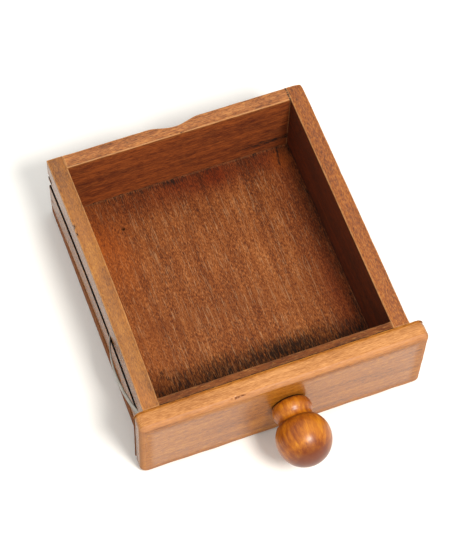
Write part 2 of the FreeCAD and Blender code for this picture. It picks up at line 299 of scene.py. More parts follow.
def makeWood(name, look):
    # Sawn and sanded beech under old varnish. Growth lines and fibres run along the grain with short dark
    # flecks among them. The varnish is a thin clear coat that turns pale at a low angle, and it has gone
    # from the rubbed arrises and from the inside of the tray.
    material = newMaterial(name)
    tree = material.node_tree
    place = addNode(tree, "ShaderNodeTexCoord")
    straight = addNode(
        tree, "ShaderNodeMapping",
        {0: place.outputs["Object"], "Location": look["offset"], "Scale": (1 / mm,) * 3},
    )
    slanted = addNode(tree, "ShaderNodeMapping", {0: straight, "Rotation": (look["fleckSlant"],) * 3})

    # one stretched noise for each thing that follows the grain: (width, length) in mm, detail, roughness
    grain = {}
    for label, detail, rough in (
        ("cloud", 3, 0.55), ("rings", 2, 0.5), ("fibre", 4, 0.65), ("pale", 2, 0.6),
        ("fleck", 2, 0.6), ("chafe", 3, 0.7), ("sootAndShadow", 4, 0.65),
    ):
        width, length = look[label]
        scale = [1 / width] * 3
        scale["XYZ".index(look["grain"])] = 1 / length
        spot = addNode(
            tree, "ShaderNodeVectorMath", {0: slanted if label == "fleck" else straight, 1: scale},
            operation="MULTIPLY",
        )
        grain[label] = addNode(
            tree, "ShaderNodeTexNoise", {"Vector": spot, "Scale": 1.0, "Detail": detail, "Roughness": rough}
        )
    painted = {}
    for label in ("wear", "stain", "deep", "glow"):
        painted[label] = addNode(tree, "ShaderNodeAttribute", attribute_name=label).outputs["Fac"]

    tone = addNode(tree, "ShaderNodeMath", {0: grain["cloud"], 1: look["shares"][0]}, operation="MULTIPLY")
    for label, share in zip(("rings", "fibre"), look["shares"][1:]):
        tone = addNode(
            tree, "ShaderNodeMath", {0: grain[label], 1: share, 2: tone}, operation="MULTIPLY_ADD"
        )
    colour, glowTone, deepTone = (
        addNode(tree, "ShaderNodeValToRGB", {0: tone}, look[label])
        for label in ("tones", "glowTones", "deepTones")
    )
    pale, fleck = (
        addNode(tree, "ShaderNodeValToRGB", {0: grain[label]}, look[label + "Cut"])
        for label in ("pale", "fleck")
    )
    cloudy = addNode(tree, "ShaderNodeMath", {0: grain["cloud"], 1: 0.55}, operation="ADD")
    glow, deep = (
        addNode(tree, "ShaderNodeMath", {0: painted[label], 1: cloudy}, operation="MULTIPLY", use_clamp=True)
        for label in ("glow", "deep")
    )

    # end grain drinks more finish and goes darker
    facing = addNode(tree, "ShaderNodeSeparateXYZ", {0: place.outputs["Normal"]}).outputs[look["grain"]]
    endways = addNode(tree, "ShaderNodeMath", {0: facing}, operation="ABSOLUTE")
    endOn = addNode(tree, "ShaderNodeValToRGB", {0: endways}, look["endCut"])

    # rubbed arrises, stains and painted shade come from the mesh, broken up by the grain
    chafed = addNode(tree, "ShaderNodeMath", {0: grain["chafe"], 1: 0.45}, operation="ADD")
    chafed = addNode(tree, "ShaderNodeMath", {0: chafed, 1: painted["wear"]}, operation="MULTIPLY")
    worn = addNode(tree, "ShaderNodeValToRGB", {0: chafed}, ((0.45, 0.0), (0.95, 1.0)))
    wisps = addNode(
        tree, "ShaderNodeMapRange",
        {"Value": grain["sootAndShadow"], "From Min": 0.25, "From Max": 0.75, "To Min": -0.7, "To Max": 0.7},
    )
    stainedAndShaded = addNode(tree, "ShaderNodeMath", {0: painted["stain"], 1: wisps}, operation="ADD")
    stainedAndShaded = addNode(tree, "ShaderNodeValToRGB", {0: stainedAndShaded}, ((0.35, 0.0), (0.85, 1.0)))
    limit = addNode(
        tree, "ShaderNodeMath", {0: painted["stain"], 1: 4.0}, operation="MULTIPLY", use_clamp=True
    )
    stainedAndShaded = addNode(tree, "ShaderNodeMath", {0: stainedAndShaded, 1: limit}, operation="MULTIPLY")

    for mask, share, tint in (
        (pale, look["paleShare"], hexColour(look["paleColour"])),
        (fleck, look["fleckShare"], hexColour(look["fleckColour"])),
        (glow, 1.0, glowTone),
        (endOn, look["endShare"], hexColour(look["endColour"])),
        (deep, 1.0, deepTone),
        (worn, look["wearShare"], hexColour(look["wearColour"])),
        (stainedAndShaded, look["stainShare"], hexColour(look["stainColour"])),
    ):
        part = addNode(tree, "ShaderNodeMath", {0: mask, 1: share}, operation="MULTIPLY")
        colour = addNode(tree, "ShaderNodeMix", {0: part, 6: colour, 7: tint}, data_type="RGBA")

    # the varnish is gone where the wood is bare, rubbed, stained or painted with shade
    rubbed = addNode(tree, "ShaderNodeMath", {0: painted["wear"], 1: look["bareArris"]}, operation="MULTIPLY")
    bare = addNode(tree, "ShaderNodeMath", {0: painted["deep"], 1: painted["stain"]}, operation="MAXIMUM")
    bare = addNode(tree, "ShaderNodeMath", {0: bare, 1: rubbed}, operation="MAXIMUM")
    coat = addNode(tree, "ShaderNodeMapRange", {"Value": bare, "To Min": look["coat"], "To Max": 0.0})
    smoothest, roughest = look["rough"]
    rough = addNode(
        tree, "ShaderNodeMapRange",
        {"Value": grain["fibre"], "From Min": 0.3, "From Max": 0.7, "To Min": smoothest, "To Max": roughest},
    )
    dull = addNode(tree, "ShaderNodeMapRange", {"Value": bare, "To Min": 0.0, "To Max": 0.3})
    rough = addNode(tree, "ShaderNodeMath", {0: rough, 1: dull}, operation="ADD")
    relief = addNode(tree, "ShaderNodeMath", {0: fleck, 1: -0.7, 2: grain["fibre"]}, operation="MULTIPLY_ADD")
    bump = addNode(
        tree, "ShaderNodeBump", {"Height": relief, "Distance": look["relief"] * mm, "Strength": 0.5}
    )
    shader = addNode(
        tree, "ShaderNodeBsdfPrincipled",
        {
            "Base Color": colour, "Roughness": rough, "Normal": bump, "IOR": look["ior"],
            "Coat Weight": coat, "Coat Roughness": look["coatRough"], "Coat IOR": 1.5,
        },
    )
    addNode(tree, "ShaderNodeOutputMaterial", {"Surface": shader})
    return material


# fibres finer than about 0.3 mm are drawn at that width, or they would blur away. Sizes are in millimetres.
goldenBeech = {
    "grain": "Y", "offset": (13, 5, 71), "cloud": (6, 14), "rings": (2.2, 50), "fibre": (0.34, 1.6),
    "shares": (0.30, 0.18, 0.52),
    "tones": ((0.39, "#5e330a"), (0.46, "#7f4c14"), (0.54, "#935b1b"), (0.63, "#a8702c")),
    "fleck": (0.32, 0.9), "fleckSlant": 0.0, "fleckCut": ((0.58, 0.0), (0.68, 1.0)),
    "fleckShare": 0.5, "fleckColour": "#4a2408",
    "pale": (0.35, 1.8), "paleCut": ((0.56, 0.0), (0.68, 1.0)), "paleShare": 0.25, "paleColour": "#c08a48",
    "glowTones": ((0.38, "#6e3a0c"), (0.62, "#aa6822")), "deepTones": ((0.42, "#381402"), (0.60, "#702c04")),
    "endCut": ((0.55, 0.0), (0.92, 1.0)), "endShare": 0.5, "endColour": "#4a260c",
    "chafe": (1.3, 3.5), "wearShare": 0.6, "wearColour": "#c08e5c", "bareArris": 0.9,
    "sootAndShadow": (0.5, 2.5), "stainShare": 0.97, "stainColour": "#110906",
    "relief": 0.05, "rough": (0.45, 0.6), "ior": 1.36, "coat": 0.5, "coatRough": 0.25,
}
# amber varnish, cloudy and finely cracked
leftWood = makeWood("varnishedBeechLeft", goldenBeech | {
    "tones": ((0.39, "#5a2f05"), (0.46, "#79460c"), (0.54, "#8e5512"), (0.63, "#a36a20")),
    "coat": 0.75, "coatRough": 0.2,
})
# the same varnish over grain that runs out at a slant, so its flecks lie diagonally
rightWood = makeWood("varnishedBeechRight", goldenBeech | {
    "offset": (37, 15, 7), "fleckSlant": 0.5, "fleckShare": 0.6, "fleck": (0.27, 1.7),
    "shares": (0.16, 0.2, 0.64),
    "tones": ((0.40, "#562805"), (0.47, "#763b0a"), (0.53, "#8a4a10"), (0.62, "#9f601d")),
})
# a redder board with long fine streaks, nearly copper coloured on the tray side
backWood = makeWood("varnishedBeechBack", goldenBeech | {
    "grain": "X", "offset": (3, 41, 9), "fleck": (0.3, 1.6), "fibre": (0.32, 2.6),
    "shares": (0.16, 0.2, 0.64),
    "tones": ((0.40, "#5c2e10"), (0.47, "#82491d"), (0.53, "#985b29"), (0.62, "#b0743c")),
    "fleckShare": 0.7, "fleckCut": ((0.56, 0.0), (0.66, 1.0)),
    "deepTones": ((0.42, "#561f05"), (0.60, "#984c1a")),
})
# dull brown rail, handled bare
railWood = makeWood("rubbedBeechRail", goldenBeech | {
    "grain": "X", "offset": (31, 2, 17), "fibre": (0.34, 3.5), "wearShare": 0.2,
    "tones": ((0.38, "#351403"), (0.46, "#532609"), (0.54, "#653410"), (0.64, "#784119")),
    "deepTones": ((0.42, "#341404"), (0.60, "#6a300e")), "ior": 1.25, "coat": 0.1, "coatRough": 0.4,
})
# the glossiest varnish, over orange wood with pale pinkish rubbed edges that are partly wear and partly a
# painted highlight, and a top face painted lighter as painted light
panelWood = makeWood("varnishedBeechFace", goldenBeech | {
    "grain": "X", "offset": (7, 23, 3), "cloud": (8, 24), "rings": (1.8, 40), "fibre": (0.34, 2.6),
    "shares": (0.18, 0.22, 0.60),
    "tones": ((0.40, "#693605"), (0.47, "#8a4e0f"), (0.53, "#9f6018"), (0.62, "#b2772b")),
    "fleck": (0.32, 2.2), "fleckShare": 0.6, "fleckColour": "#54290a", "stainColour": "#5e3015",
    "glowTones": ((0.38, "#8f551f"), (0.62, "#c58a50")), "bareArris": 0.95, "endShare": 0.25,
    "wearShare": 0.55, "wearColour": "#b0805f", "ior": 1.18, "coat": 0.75, "coatRough": 0.15,
})
# flat brown stain over close grain with pale scratches, no varnish
floorWood = makeWood("stainedBoardFloor", goldenBeech | {
    "grain": "Y", "offset": (19, 11, 29), "cloud": (10, 24), "rings": (1.5, 36), "fibre": (0.24, 1.2),
    "shares": (0.14, 0.16, 0.70),
    "tones": ((0.38, "#3e1905"), (0.47, "#65300b"), (0.53, "#7d4116"), (0.62, "#a36635")),
    "fleck": (0.24, 1.3), "fleckShare": 0.55, "fleckColour": "#2c1006",
    "pale": (0.3, 8), "paleCut": ((0.59, 0.0), (0.67, 1.0)), "paleShare": 0.42, "paleColour": "#b58e66",
    "glowTones": ((0.38, "#602506"), (0.62, "#ac5716")), "deepTones": ((0.42, "#341002"), (0.60, "#702a09")),
    "wearShare": 0.4, "wearColour": "#9a6844", "endShare": 0.2,
    "sootAndShadow": (0.32, 2.6), "stainShare": 0.92, "stainColour": "#191009",
    "rough": (0.6, 0.75), "ior": 1.3, "coat": 0.0,
})
print("wood materials made")


sideLook = {
    "edge": 0.45, "rub": 0.7, "rubSize": 5.0, "wearReach": 1.1, "seed": 1.0, "step": (2.0, 1.6, 1.8),
    "length": "Y", "buttShare": 0.4,
}
leftWall = {
    "bow": 0.55, "bowMiddle": -8.0,  # the thin wall has bowed inwards by this much
    "grooveLow": 20.1, "grooveHigh": 25.1, "grooveDepth": 2.1, "lip": 0.3,
    "notchMiddle": 28.0, "notchHalf": 1.3, "notchLength": 4.3, "notchDepth": 1.6,
}
lowSide, highSide = boxInMm("left_side")
lowRight, highRight = boxInMm("right_side")
lowBack, highBack = boxInMm("back")
lowRail, highRail = boxInMm("front_rail")
lowBottom, highBottom = boxInMm("bottom")
lowPanel, highPanel = boxInMm("front_panel")
backPinZ = (12.0, 28.0)
backMiddle = (lowBack.y + highBack.y) / 2
pit = {"radius": 0.78, "depth": 0.3}  # where a pin was punched below the surface


def shapeLeftSide(p):
    w = leftWall
    p = p + Vector((0.03, 0.03, 0.03)) * drift(p, 22, 4)
    depth = 0.0
    inside = min(p.z - w["grooveLow"], w["grooveHigh"] - p.z)
    if inside > 0:
        depth = w["grooveDepth"]
    elif inside > -w["lip"]:
        depth = 0.22 * (1 + inside / w["lip"]) ** 2
    torn = 0.35 * drift(p, 1.1, 9)
    notchIn = min(
        w["notchHalf"] - abs(p.z - w["notchMiddle"]) + torn, p.y - highSide.y + w["notchLength"] + 2 * torn
    )
    if notchIn > 0:
        depth = max(depth, min(w["notchDepth"] + torn, notchIn * 3))
    p.x = max(p.x, lowSide.x + depth)
    p.x += w["bow"] * (1 - ((p.y - w["bowMiddle"]) / 53) ** 2)
    return p


def paintLeftSide(p):
    # painted shade: black inside the groove and the notch; dark on the tray side
    w = leftWall
    outside = fade(2.5, 1.0, p.x - lowSide.x)
    grooved = fade(-0.28, 0.0, min(p.z - w["grooveLow"], w["grooveHigh"] - p.z)) * outside
    notched = fade(-0.2, 0.3, w["notchHalf"] - abs(p.z - w["notchMiddle"]))
    notched *= fade(0.0, 0.6, p.y - highSide.y + w["notchLength"]) * outside
    inner = fade(0.7, 0.2, highSide.x - p.x) * fade(0.1, 0.8, highSide.z - p.z)
    corner = fade(4.0, 0.5, p.z - highBottom.z) * inner * 0.5
    patch = 0.8 * fade(-0.1, 0.5, drift(p, 16, 41)) * fade(1.5, 0.2, highSide.z - p.z)
    return {"stain": max(grooved, notched, corner) * 1.4, "deep": inner, "glow": patch}


leftSide = boardPiece(
    "leftSide", lowSide, highSide, sideLook, shapeLeftSide, paintLeftSide,
    fine=(
        ((lowSide.x + 1.4, lowSide.x + 2.1, 0.35),),
        ((-8.2, -4.6, 0.3), (18.8, 25.6, 0.4), (highSide.y - 5.2, highSide.y - 0.7, 0.45)),
        ((19.8, 20.1, 0.1), (25.1, 25.4, 0.1), (26.0, 30.0, 0.4), (20.12, 20.12, 0.01), (25.08, 25.08, 0.01)),
    ),
    nicks=(
        ((lowSide.x, 23.5, highSide.z), 1.3, 0.7), ((lowSide.x + 0.2, 20.3, highSide.z), 0.9, 0.4),
        ((lowSide.x, -6.4, highSide.z), 1.0, 0.45), ((highSide.x, 31.0, highSide.z), 0.8, 0.3),
    ),
)
drill(leftSide, [
    ((lowSide.x, backMiddle, backPinZ[0]), (1, 0, 0), pit["radius"], pit["depth"]),
    ((lowSide.x + leftWall["notchDepth"], backMiddle, backPinZ[1]), (1, 0, 0), pit["radius"], pit["depth"]),
])
settle(leftSide, "drawer", leftWood, "side_beech", "left_side")


def paintRightSide(p):
    inner = fade(0.7, 0.2, p.x - lowRight.x) * fade(0.1, 0.8, highRight.z - p.z)
    corner = fade(5.0, 0.5, p.z - highBottom.z) * inner * 0.6
    return {"stain": corner, "deep": inner}


wornCorner = {"reach": 1.6, "height": 14, "loss": (0.45, 0.45, 0.1)}


def shapeRightSide(p):
    # its outer rear corner is worn well round near the top
    p = p + Vector((0.04, 0.03, 0.03)) * drift(p, 22, 6)
    near = Vector((highRight.x - p.x, highRight.y - p.y, 0)).length
    rounding = fade(wornCorner["reach"], 0.0, near)
    rounding *= fade(wornCorner["height"], 0, highRight.z - p.z)
    return p - Vector(wornCorner["loss"]) * rounding


rightSide = boardPiece(
    "rightSide", lowRight, highRight, sideLook | {"seed": 2.0}, shapeRightSide, paintRightSide,
    nicks=(((highRight.x, 12.0, highRight.z), 0.8, 0.3), ((lowRight.x, 29.0, highRight.z), 0.7, 0.25)),
)
drill(rightSide, [
    ((highRight.x, backMiddle, z), (-1, 0, 0), pit["radius"], pit["depth"]) for z in backPinZ
])
settle(rightSide, "drawer", rightWood, "side_beech", "right_side")

scoop = {"middle": -1.0, "depth": 1.9, "half": 10.5}
backSpread = {"right": 0.22, "left": 0.286, "reach": 3.0}  # how far its ends reach into the walls


def shapeBack(p):
    away = abs(p.x - scoop["middle"]) / scoop["half"]
    hollow = scoop["depth"] * (math.cos(min(away, 1.0) * math.pi) + 1) / 2
    thick = highBack.y - lowBack.y
    p = p + Vector((0.03, 0.03, 0.03)) * drift(p, 22, 8)
    p.y = lowBack.y + (p.y - lowBack.y) * (1 - hollow / thick)
    # the ends reach out to the walls, which have moved a little apart at the back
    near = fade(highBack.x - backSpread["reach"], highBack.x, abs(p.x))
    p.x += near * (backSpread["right"] if p.x > 0 else -backSpread["left"])
    return p


def paintBack(p):
    # dark tray side, with a stain low down towards the right-hand corner
    inner = fade(0.7, 0.2, p.y - lowBack.y) * fade(0.2, 0.9, highBack.z - p.z)
    height = p.z - highBottom.z
    low = fade(3.0, 0.3, height) * 0.45
    mark = fade(10.0, 6.5, height) * fade(3.0, 6.5, height) * fade(14, 34, p.x) * 0.8
    seam = 0.7 * fade(0.75, 0.5, highBack.x - p.x) * fade(3.0, 0.5, highBack.z - p.z)
    return {"stain": max(max(low, mark) * inner, seam), "deep": inner}


backBoard = boardPiece(
    "backBoard", lowBack, highBack,
    sideLook | {"seed": 3.0, "step": (1.6, 1.8, 1.8), "length": "X", "edge": 0.4, "buttShare": 0.25},
    shapeBack, paintBack, fine=(((-3.5, 3.5, 0.4), (highBack.x - 1.0, highBack.x - 0.4, 0.2)), (), ()),
    nicks=(((0.8, lowBack.y, highBack.z), 1.5, 0.35),),
)
settle(backBoard, "drawer", backWood, "back_beech", "back")

knobAxis = {"x": 2.15, "z": 21.5}
screwLook = {
    "headRadius": 3.0, "headDepth": 1.7, "shank": 1.5, "root": 1.05, "length": 20.0, "tip": 2.4,
    "threadFrom": 10.2, "pitch": 1.4, "slotWidth": 0.8, "slotDepth": 0.8, "headPlay": 0.1, "ridge": 0.3,
}
frontRail = boardPiece(
    "frontRail", lowRail, highRail,
    sideLook | {"edge": 0.35, "seed": 4.0, "step": (1.6, 1.5, 1.8), "length": "X"},
    paint=lambda p: {
        "stain": max(
            fade(0.6, 0.0, p.y - lowRail.y) * 1.1, fade(0.5, 0.1, highRail.y - p.y) * 0.45
        ),
        "deep": fade(0.6, 0.2, highRail.y - p.y) * fade(0.2, 0.9, highRail.z - p.z),
    },
)
screwHead = Vector((knobAxis["x"], highRail.y, knobAxis["z"]))
drill(frontRail, [
    (screwHead, (0, -1, 0), screwLook["headRadius"] + screwLook["headPlay"], screwLook["headDepth"]),
])
settle(frontRail, "drawer", railWood, "rail_beech", "front_rail")


wormHole = {"place": (-27.9, 33.3), "radius": 0.52, "depth": 2.5}
floorMarks = {
    "sootAndShadowWhole": 16.5, "sootAndShadowEnd": 26.5, "crackAt": 4.2, "crackLean": 0.22, "crackEnd": 11, "emberAt": 5,
    "darkBack": 17, "darkRight": 18,
}


def paintFloor(p):
    # soot and grime in the tray: soot at the front, partly a painted shadow of the front rail, and grime
    # along the back; a red-brown darkening at the back, and along the right wall a painted shade of that
    # wall; painted light, lighter and warmer, towards the back and the left wall; dust in the seams
    m = floorMarks
    front = p.y - highRail.y
    back = lowBack.y - p.y
    right = lowRight.x - p.x
    left = p.x - highSide.x
    if p.z < highBottom.z - 0.5 or min(front, back, left, right) < -0.3:
        return {"wear": 0.8}
    # partly soot and partly painted shadow: it reaches back as far as the front rail's shadow
    sootAndShadow = fade(m["sootAndShadowEnd"], m["sootAndShadowWhole"], front + 3.0 * drift(p, 11, 13))
    sootAndShadow *= 0.68 + 0.3 * drift(p, 9, 19)
    grimeAndShade = 0.56 * fade(4.5, 0.3, back) * (0.9 + 0.7 * drift(p, 8, 3))
    # painted shade along the right wall, where the floor meets it
    grimeAndShade = max(grimeAndShade, 0.5 * fade(3.5, 0.3, right))
    crack = fade(0.8, 0.1, abs(right - m["crackAt"] - back * m["crackLean"]))
    crack *= fade(m["crackEnd"], 3, back) * 0.95
    dark = fade(m["darkBack"], 3, back) * (0.35 + 0.5 * fade(5, 35, left))
    # painted shade: darker along the right wall, which shades the floor from the light
    dark = max(dark, fade(m["darkRight"], 1, right) * 0.75)
    holeRim = 1.4 * fade(0.8, 0.6, (p.xy - Vector(wormHole["place"])).length)
    ember = fade(6.5, 1.0, Vector((right - m["emberAt"], (back - m["emberAt"]) * 0.7, 0)).length)
    # painted light: lighter and warmer towards the back and the left wall, where the floor is lit
    warm = (0.2 + 0.6 * fade(60, 12, back)) * fade(24, 4, left) * (0.9 + 0.6 * drift(p, 15, 17))
    warm = max(0.8 * ember, warm * (1 - 0.5 * dark))
    dark *= (0.9 + 0.35 * drift(p, 12, 31)) * (1 - 0.45 * ember)
    return {
        "stain": max(sootAndShadow, grimeAndShade, crack, holeRim), "deep": dark, "glow": warm,
        "wear": fade(0.7, 0.4, back) * 0.7,
    }


bottomBoard = boardPiece(
    "bottomBoard", lowBottom, highBottom,
    sideLook | {"edge": 0.35, "seed": 5.0, "step": (1.7, 1.8, 1.5)}, paint=paintFloor,
    fine=(
        ((36.0, 43.5, 0.5), (-28.9, -26.9, 0.2)),
        ((32.3, 34.3, 0.2), (38.0, 46.3, 0.6), (46.5, 47.7, 0.2)), (),
    ),
)
sideMiddle = (lowSide.x + highSide.x) / 2
bottomPins = [(side * sideMiddle, y) for side in (1, -1) for y in (-40.0, 0.0, 40.0)]
bottomPins += [(-22.0, backMiddle), (22.0, backMiddle)]
drill(bottomBoard, [
    ((x, y, lowBottom.z), (0, 0, 1), pit["radius"], pit["depth"]) for x, y in bottomPins
] + [((*wormHole["place"], highBottom.z), (0, 0, -1), wormHole["radius"], wormHole["depth"])])
settle(bottomBoard, "drawer", floorWood, "bottom_board", "bottom")
print("walls and bottom made")


faceBoard = {
    "corner": 2.8, "frontRound": 2.0, "backRound": 0.6, "step": 1.5, "fineStep": 0.4,
    "chipAt": -17.3, "chipHalf": 3.8,
}


def panelOutline():
    # points and outward directions round the board, seen from the front
    half = Vector(((highPanel.x - lowPanel.x) / 2, 0, (highPanel.z - lowPanel.z) / 2))
    middle = (highPanel + lowPanel) / 2
    r = faceBoard["corner"]
    points = []
    for quarter in range(4):
        start = math.pi / 2 * quarter
        signX = 1 if quarter in (0, 3) else -1
        signZ = 1 if quarter in (0, 1) else -1
        centre = Vector((middle.x + signX * (half.x - r), 0, middle.z + signZ * (half.z - r)))
        for i in range(9):
            turn = start + math.pi / 2 * i / 8
            outwards = Vector((math.cos(turn), 0, math.sin(turn)))
            points.append((centre + outwards * r, outwards))
    outline = []
    for (p, outwards), (q, _) in zip(points, points[1:] + points[:1]):
        outline.append((p, outwards))
        gap = (q - p).length
        if gap > 2 * faceBoard["step"]:
            count = round(gap / faceBoard["fineStep" if abs(outwards.z) > 0.9 else "step"])
            outline += [(p.lerp(q, i / count), outwards) for i in range(1, count)]
    return outline


def makePanel():
    bm = bmesh.new()
    layers = bm.verts.layers.float
    wearLayer, stainLayer, glowLayer = (layers.new(label) for label in ("wear", "stain", "glow"))
    outline = panelOutline()
    middle = (highPanel + lowPanel) / 2
    reach = (highPanel.x - lowPanel.x) / 2 - (highPanel.z - lowPanel.z) / 2
    front, back = faceBoard["frontRound"], faceBoard["backRound"]
    levels = []
    for i in range(5):
        turn = math.pi / 2 * i / 4
        levels.append((highPanel.y - back * (1 - math.sin(turn)), back * (1 - math.cos(turn)), 1.0))
    levels.append((highPanel.y - 2.2, 0.0, 0.0))
    for i in range(8):
        turn = math.pi / 2 * i / 7
        levels.append((lowPanel.y + front * (1 - math.sin(turn)), front * (1 - math.cos(turn)), i / 7))
    rings = []
    for y, inset, wear in levels:
        ring = []
        for p, direction in outline:
            rub = 1 + 0.35 * drift((p.x, y, p.z), 6, 12)
            q = Vector((p.x, y, p.z)) - direction * inset * rub
            chipAway = abs(p.x - faceBoard["chipAt"]) / faceBoard["chipHalf"]
            torn = 0.0
            if direction.z > 0.9 and chipAway < 1 and 0 < wear < 0.9:
                torn = (1 - chipAway ** 2) * (0.75 + 1.1 * drift(p, 1.1, 5))
                torn *= max(0.0, 1 - abs(wear - 0.36) * 4.2)
                q += Vector((0, 0.35, -0.3)) * max(torn, 0.0)
            vert = bm.verts.new(q)
            # the front round is painted pale pinkish: partly wear and partly a painted highlight
            vert[wearLayer] = min(1.0, 2.4 * math.sin(math.pi * (0.06 + 0.88 * wear))) if wear else 0.0
            vert[stainLayer] = max(0.0, torn)
            # painted light: the top face is painted lighter, as light falls on it from above
            vert[glowLayer] = max(0.0, direction.z) * (1 - wear) * 0.9
            ring.append(vert)
        rings.append(ring)

    def towardsSpine(y, share):
        ring = []
        for p, direction in outline:
            start = Vector((p.x, y, p.z)) - direction * (front if y < middle.y else back)
            spine = Vector((min(max(p.x, middle.x - reach), middle.x + reach), y, middle.z))
            vert = bm.verts.new(start.lerp(spine, share))
            vert[wearLayer] = max(0.0, 1 - share * 8) if y < middle.y else 0.0
            ring.append(vert)
        return ring

    shares = (0.06, 0.2, 0.4, 0.6, 0.8, 1.0)
    rings = [towardsSpine(highPanel.y, s) for s in reversed(shares)] + rings
    rings += [towardsSpine(lowPanel.y, s) for s in shares]
    for ring, following in zip(rings, rings[1:]):
        for i in range(len(ring)):
            j = (i + 1) % len(ring)
            bm.faces.new((ring[i], ring[j], following[j], following[i]))
    return meshPiece("frontPanel", bm)


frontPanel = makePanel()
settle(frontPanel, "drawer", panelWood, "panel_beech", "front_panel")
print("face board made")


knobShape = {
    "ball": 10.1, "ballAt": 14.8, "join": 52, "collar": 7.4, "collarAt": 2.8, "foot": 6.2, "footAt": 0.35,
    "collarEnd": 6.95, "collarEndAt": 5.2, "waist": 6.5, "waistAt": 6.6, "turns": 112, "wobble": 0.004,
}


def arcThrough(a, b, c, count):
    # points of the circular arc from a through b to c
    d = 2 * (a[0] * (b[1] - c[1]) + b[0] * (c[1] - a[1]) + c[0] * (a[1] - b[1]))
    squares = [v[0] ** 2 + v[1] ** 2 for v in (a, b, c)]
    cx = (squares[0] * (b[1] - c[1]) + squares[1] * (c[1] - a[1]) + squares[2] * (a[1] - b[1])) / d
    cy = (squares[0] * (c[0] - b[0]) + squares[1] * (a[0] - c[0]) + squares[2] * (b[0] - a[0])) / d
    radius = math.hypot(a[0] - cx, a[1] - cy)
    angles = [math.atan2(v[1] - cy, v[0] - cx) for v in (a, b, c)]
    sweep = math.remainder(angles[1] - angles[0], math.tau) + math.remainder(angles[2] - angles[1], math.tau)
    turns = [angles[0] + sweep * i / count for i in range(count + 1)]
    return [(cx + radius * math.cos(turn), cy + radius * math.sin(turn)) for turn in turns]


def knobOutline():
    k = knobShape
    join = math.radians(k["join"])
    foot, collarIn = (0.0, k["foot"] - 0.35), (k["footAt"], k["foot"])
    collarEnd, waist = (k["collarEndAt"], k["collarEnd"]), (k["waistAt"], k["waist"])
    ballJoin = (k["ballAt"] - k["ball"] * math.cos(join), k["ball"] * math.sin(join))
    outline = [(0.0, 0.0), (0.0, 2.0), (0.0, 4.5), foot]
    outline += arcThrough(collarIn, (k["collarAt"], k["collar"]), collarEnd, 14)
    outline += arcThrough(collarEnd, waist, ballJoin, 10)[1:]
    outline += arcThrough(ballJoin, (k["ballAt"], k["ball"]), (k["ballAt"] + k["ball"], 0.0), 44)[1:]
    return outline


# thick orange lacquer; the end grain at the tip of the ball and inside the collar has gone red brown, and on
# the lower front of the ball that darker red brown is also painted shade
knobWood = makeWood("lacquerKnob", goldenBeech | {
    "grain": "Y", "offset": (2, 6, 47), "cloud": (4.5, 8), "rings": (1.5, 14), "fibre": (0.4, 3),
    "shares": (0.34, 0.44, 0.22),
    "tones": ((0.36, "#702f04"), (0.46, "#8c4807"), (0.55, "#a8600d"), (0.66, "#be7c1c")),
    "fleck": (0.4, 2.4), "fleckShare": 0.35, "fleckColour": "#6a2804", "paleShare": 0.1,
    "endCut": ((0.42, 0.0), (0.82, 1.0)), "endShare": 0.92, "endColour": "#5e2404",
    "rough": (0.36, 0.46), "coat": 0.42, "coatRough": 0.28, "relief": 0.02, "ior": 1.28,
    "stainColour": "#1e0b04",
})
bm = bmesh.new()
knobFoot = (knobAxis["x"], lowPanel.y, knobAxis["z"])
lathe(bm, knobFoot, (0, -1, 0), knobOutline(), knobShape["turns"], knobShape["wobble"])
turnedKnob = meshPiece("turnedKnob", bm, 60)
grimeAndShade = turnedKnob.data.attributes.new("stain", "FLOAT", "POINT")
for i, vert in enumerate(turnedKnob.data.vertices):
    # dirt and a painted contact shadow where its foot meets the board
    grimeAndShade.data[i].value = 1.3 * fade(1.1, 0.4, lowPanel.y - vert.co.y / mm)
settle(turnedKnob, "drawer", knobWood, "lacquered_knob", "knob")
print("knob made")


def makeSteel(name, look):
    # drawn wire or rolled strip: fine scratches along it, a little dull oxide in patches, blurred reflections
    material = newMaterial(name)
    tree = material.node_tree
    place = addNode(tree, "ShaderNodeTexCoord").outputs["Object"]
    lengthways = addNode(tree, "ShaderNodeMapping", {0: place, "Scale": look["scratch"]})
    scratch = addNode(tree, "ShaderNodeTexNoise", {"Vector": lengthways, "Scale": 1 / mm, "Detail": 3.0})
    patch = addNode(tree, "ShaderNodeTexNoise", {"Vector": place, "Scale": 0.26 / mm, "Detail": 4.0})
    colour = addNode(tree, "ShaderNodeValToRGB", {0: patch}, look["tones"])
    smoothest, roughest = look["rough"]
    rough = addNode(
        tree, "ShaderNodeMapRange", {"Value": scratch, "To Min": smoothest, "To Max": roughest}
    )
    bump = addNode(tree, "ShaderNodeBump", {"Height": scratch, "Distance": 0.02 * mm, "Strength": 0.4})
    shader = addNode(
        tree, "ShaderNodeBsdfPrincipled",
        {"Base Color": colour, "Metallic": 1.0, "Roughness": rough, "Normal": bump},
    )
    addNode(tree, "ShaderNodeOutputMaterial", {"Surface": shader})
    return material


stripSteel = makeSteel("rolledSpringSteel", {
    "scratch": (2.2, 0.12, 2.2), "rough": (0.32, 0.48),
    "tones": ((0.30, "#7d7972"), (0.5, "#918d85"), (0.70, "#a39f97")),
})
screwSteel = makeSteel("drawnScrewSteel", {
    "scratch": (1.2, 1.2, 1.2), "rough": (0.3, 0.55),
    "tones": ((0.38, "#4c4640"), (0.5, "#807b74"), (0.62, "#9b968e")),
})

leafLook = {
    "thick": 0.5, "crownY": -30.0, "rearRadius": 38.0, "frontRadius": 54.0, "footRadius": 12.0,
    "footLength": 6.0, "tipRadius": 2.5, "tipAngle": 20.0, "seat": 0.05, "tipPlay": 0.3, "edgeRound": 0.14,
}
lowLeaf, highLeaf = boxInMm("leaf_spring")
grooveFloor = lowSide.x + leftWall["grooveDepth"]


